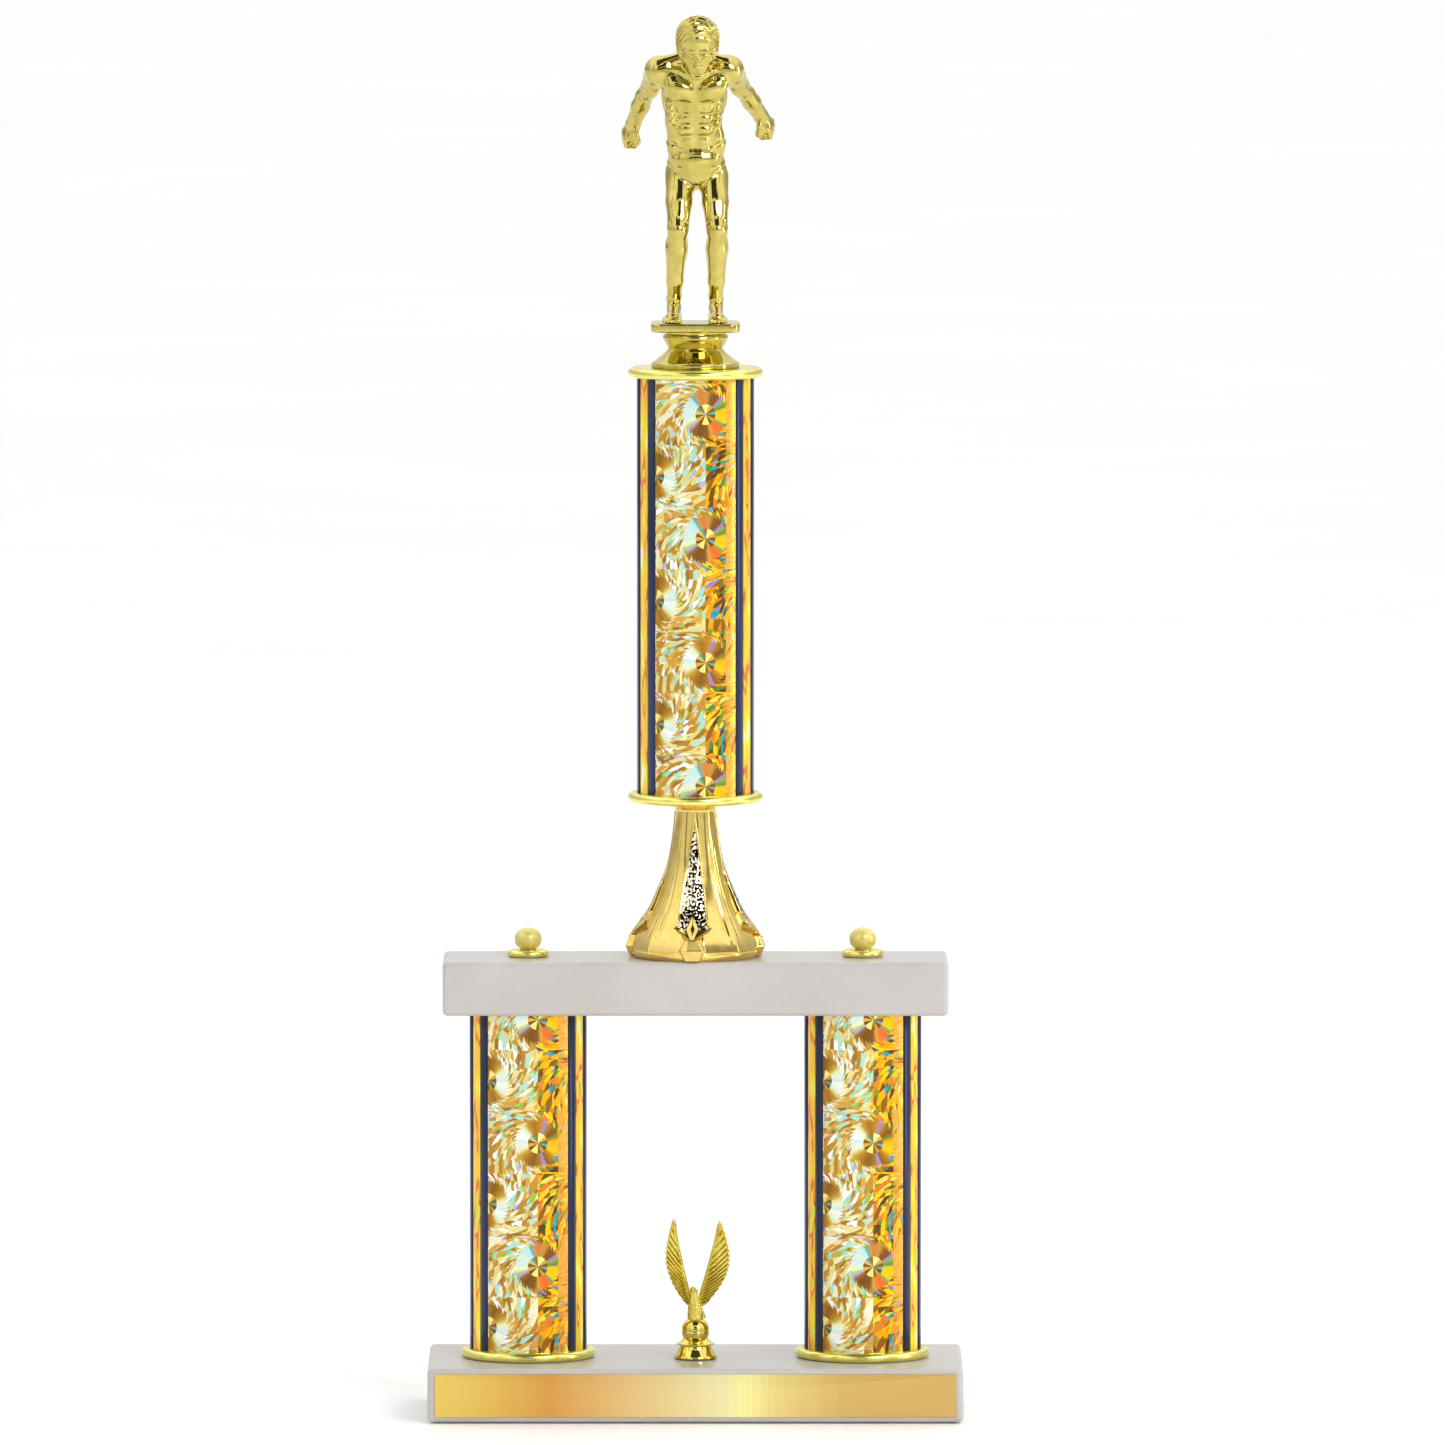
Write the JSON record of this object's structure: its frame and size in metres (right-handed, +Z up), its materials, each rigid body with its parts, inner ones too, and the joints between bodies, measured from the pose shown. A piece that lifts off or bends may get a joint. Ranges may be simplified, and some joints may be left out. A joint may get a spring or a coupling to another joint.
{
  "type": "two-column trophy",
  "caption": "Two-column trophy: marble base and bar, prismatic gold columns, riser column with a swimmer figure, winged trim and a blank plate.",
  "frame": {"origin": "centre of the flat face that the trophy rests on, under the base", "axes": "+Z up through the riser column and the figure, -Y to the front where the blank plate is, +X to the viewer's right when seen from the front"},
  "size_m": [0.214, 0.0896, 0.5609],
  "materials": {
    "felt": "short-pile wool felt",
    "marble": "polished, very faint mottling",
    "plate_gold": "brushed gold-tone metal",
    "tape": "white double-sided tape",
    "disc_gold": "metallised plastic, yellow gold",
    "column_black": "glossy charcoal",
    "prism_foil": "prismatic gold foil with pinwheel pattern",
    "board": "pressed board",
    "zinc_steel": "zinc plated",
    "satin_gold": "satin pale gold",
    "insert_brass": "turned",
    "riser_gold": "metallised plastic, warm gold",
    "figure_gold": "metallised plastic, yellow gold",
    "fibre": "red vulcanised fibre"
  },
  "bodies": {
    "stand": {"base_felt": "felt", "base_slab": "marble", "top_bar": "marble", "name_plate": "plate_gold", "name_plate_tape": "tape", "left_foot_disc": "disc_gold", "right_foot_disc": "disc_gold", "riser_disc": "disc_gold", "left_column_tube": "column_black", "right_column_tube": "column_black", "upper_column_tube": "column_black", "left_column_foil": "prism_foil", "right_column_foil": "prism_foil", "upper_column_foil": "prism_foil", "left_column_plugs": "board", "right_column_plugs": "board", "upper_column_plugs": "board", "left_rod": "zinc_steel", "right_rod": "zinc_steel", "upper_rod": "zinc_steel", "base_rod_washers": "zinc_steel", "base_rod_nuts": "zinc_steel", "upper_rod_washer": "zinc_steel", "upper_rod_nut": "zinc_steel", "trim_screw": "zinc_steel", "trim_screw_washer": "zinc_steel", "riser_foot": "riser_gold"},
    "left_knob_collar": {"left_knob_disc": "disc_gold"},
    "left_knob": {"left_knob_ball": "satin_gold", "left_knob_insert": "insert_brass"},
    "right_knob_collar": {"right_knob_disc": "disc_gold"},
    "right_knob": {"right_knob_ball": "satin_gold", "right_knob_insert": "insert_brass"},
    "figure_collar": {"top_disc": "disc_gold"},
    "figure": {"figure_pedestal": "figure_gold", "figure_insert": "insert_brass", "starting_block": "figure_gold", "swimmer_figure": "figure_gold"},
    "trim_collar": {"trim_gasket": "fibre"},
    "trim": {"trim_pedestal": "figure_gold", "trim_eagle": "figure_gold", "trim_insert": "insert_brass"}
  },
  "joints": [
    {"name": "left_knob_turn", "type": "hinge", "parent": "stand", "child": "left_knob_collar", "pos_m": [-0.067, 0, 0.183], "axis": [0, 0, 1], "range_deg": [0, 1980]},
    {"name": "left_knob_rise", "type": "slide", "parent": "left_knob_collar", "child": "left_knob", "axis": [0, 0, 1], "range_m": [0, 0.00584]},
    {"name": "right_knob_turn", "type": "hinge", "parent": "stand", "child": "right_knob_collar", "pos_m": [0.067, 0, 0.183], "axis": [0, 0, 1], "range_deg": [0, 1980]},
    {"name": "right_knob_rise", "type": "slide", "parent": "right_knob_collar", "child": "right_knob", "axis": [0, 0, 1], "range_m": [0, 0.00584]},
    {"name": "figure_turn", "type": "hinge", "parent": "stand", "child": "figure_collar", "pos_m": [0, 0, 0.415], "axis": [0, 0, 1], "range_deg": [0, 3060]},
    {"name": "figure_rise", "type": "slide", "parent": "figure_collar", "child": "figure", "axis": [0, 0, 1], "range_m": [0, 0.00902]},
    {"name": "trim_turn", "type": "hinge", "parent": "stand", "child": "trim_collar", "pos_m": [0, -0.008, 0.0222], "axis": [0, 0, 1], "range_deg": [0, 2340]},
    {"name": "trim_rise", "type": "slide", "parent": "trim_collar", "child": "trim", "axis": [0, 0, 1], "range_m": [0, 0.0069]}
  ],
  "couplings": [
    {"joint": "left_knob_rise", "follows": "left_knob_turn", "m_per_rad": 0.00016844},
    {"joint": "right_knob_rise", "follows": "right_knob_turn", "m_per_rad": 0.00016844},
    {"joint": "figure_rise", "follows": "figure_turn", "m_per_rad": 0.00016844},
    {"joint": "trim_rise", "follows": "trim_turn", "m_per_rad": 0.00016844}
  ]
}
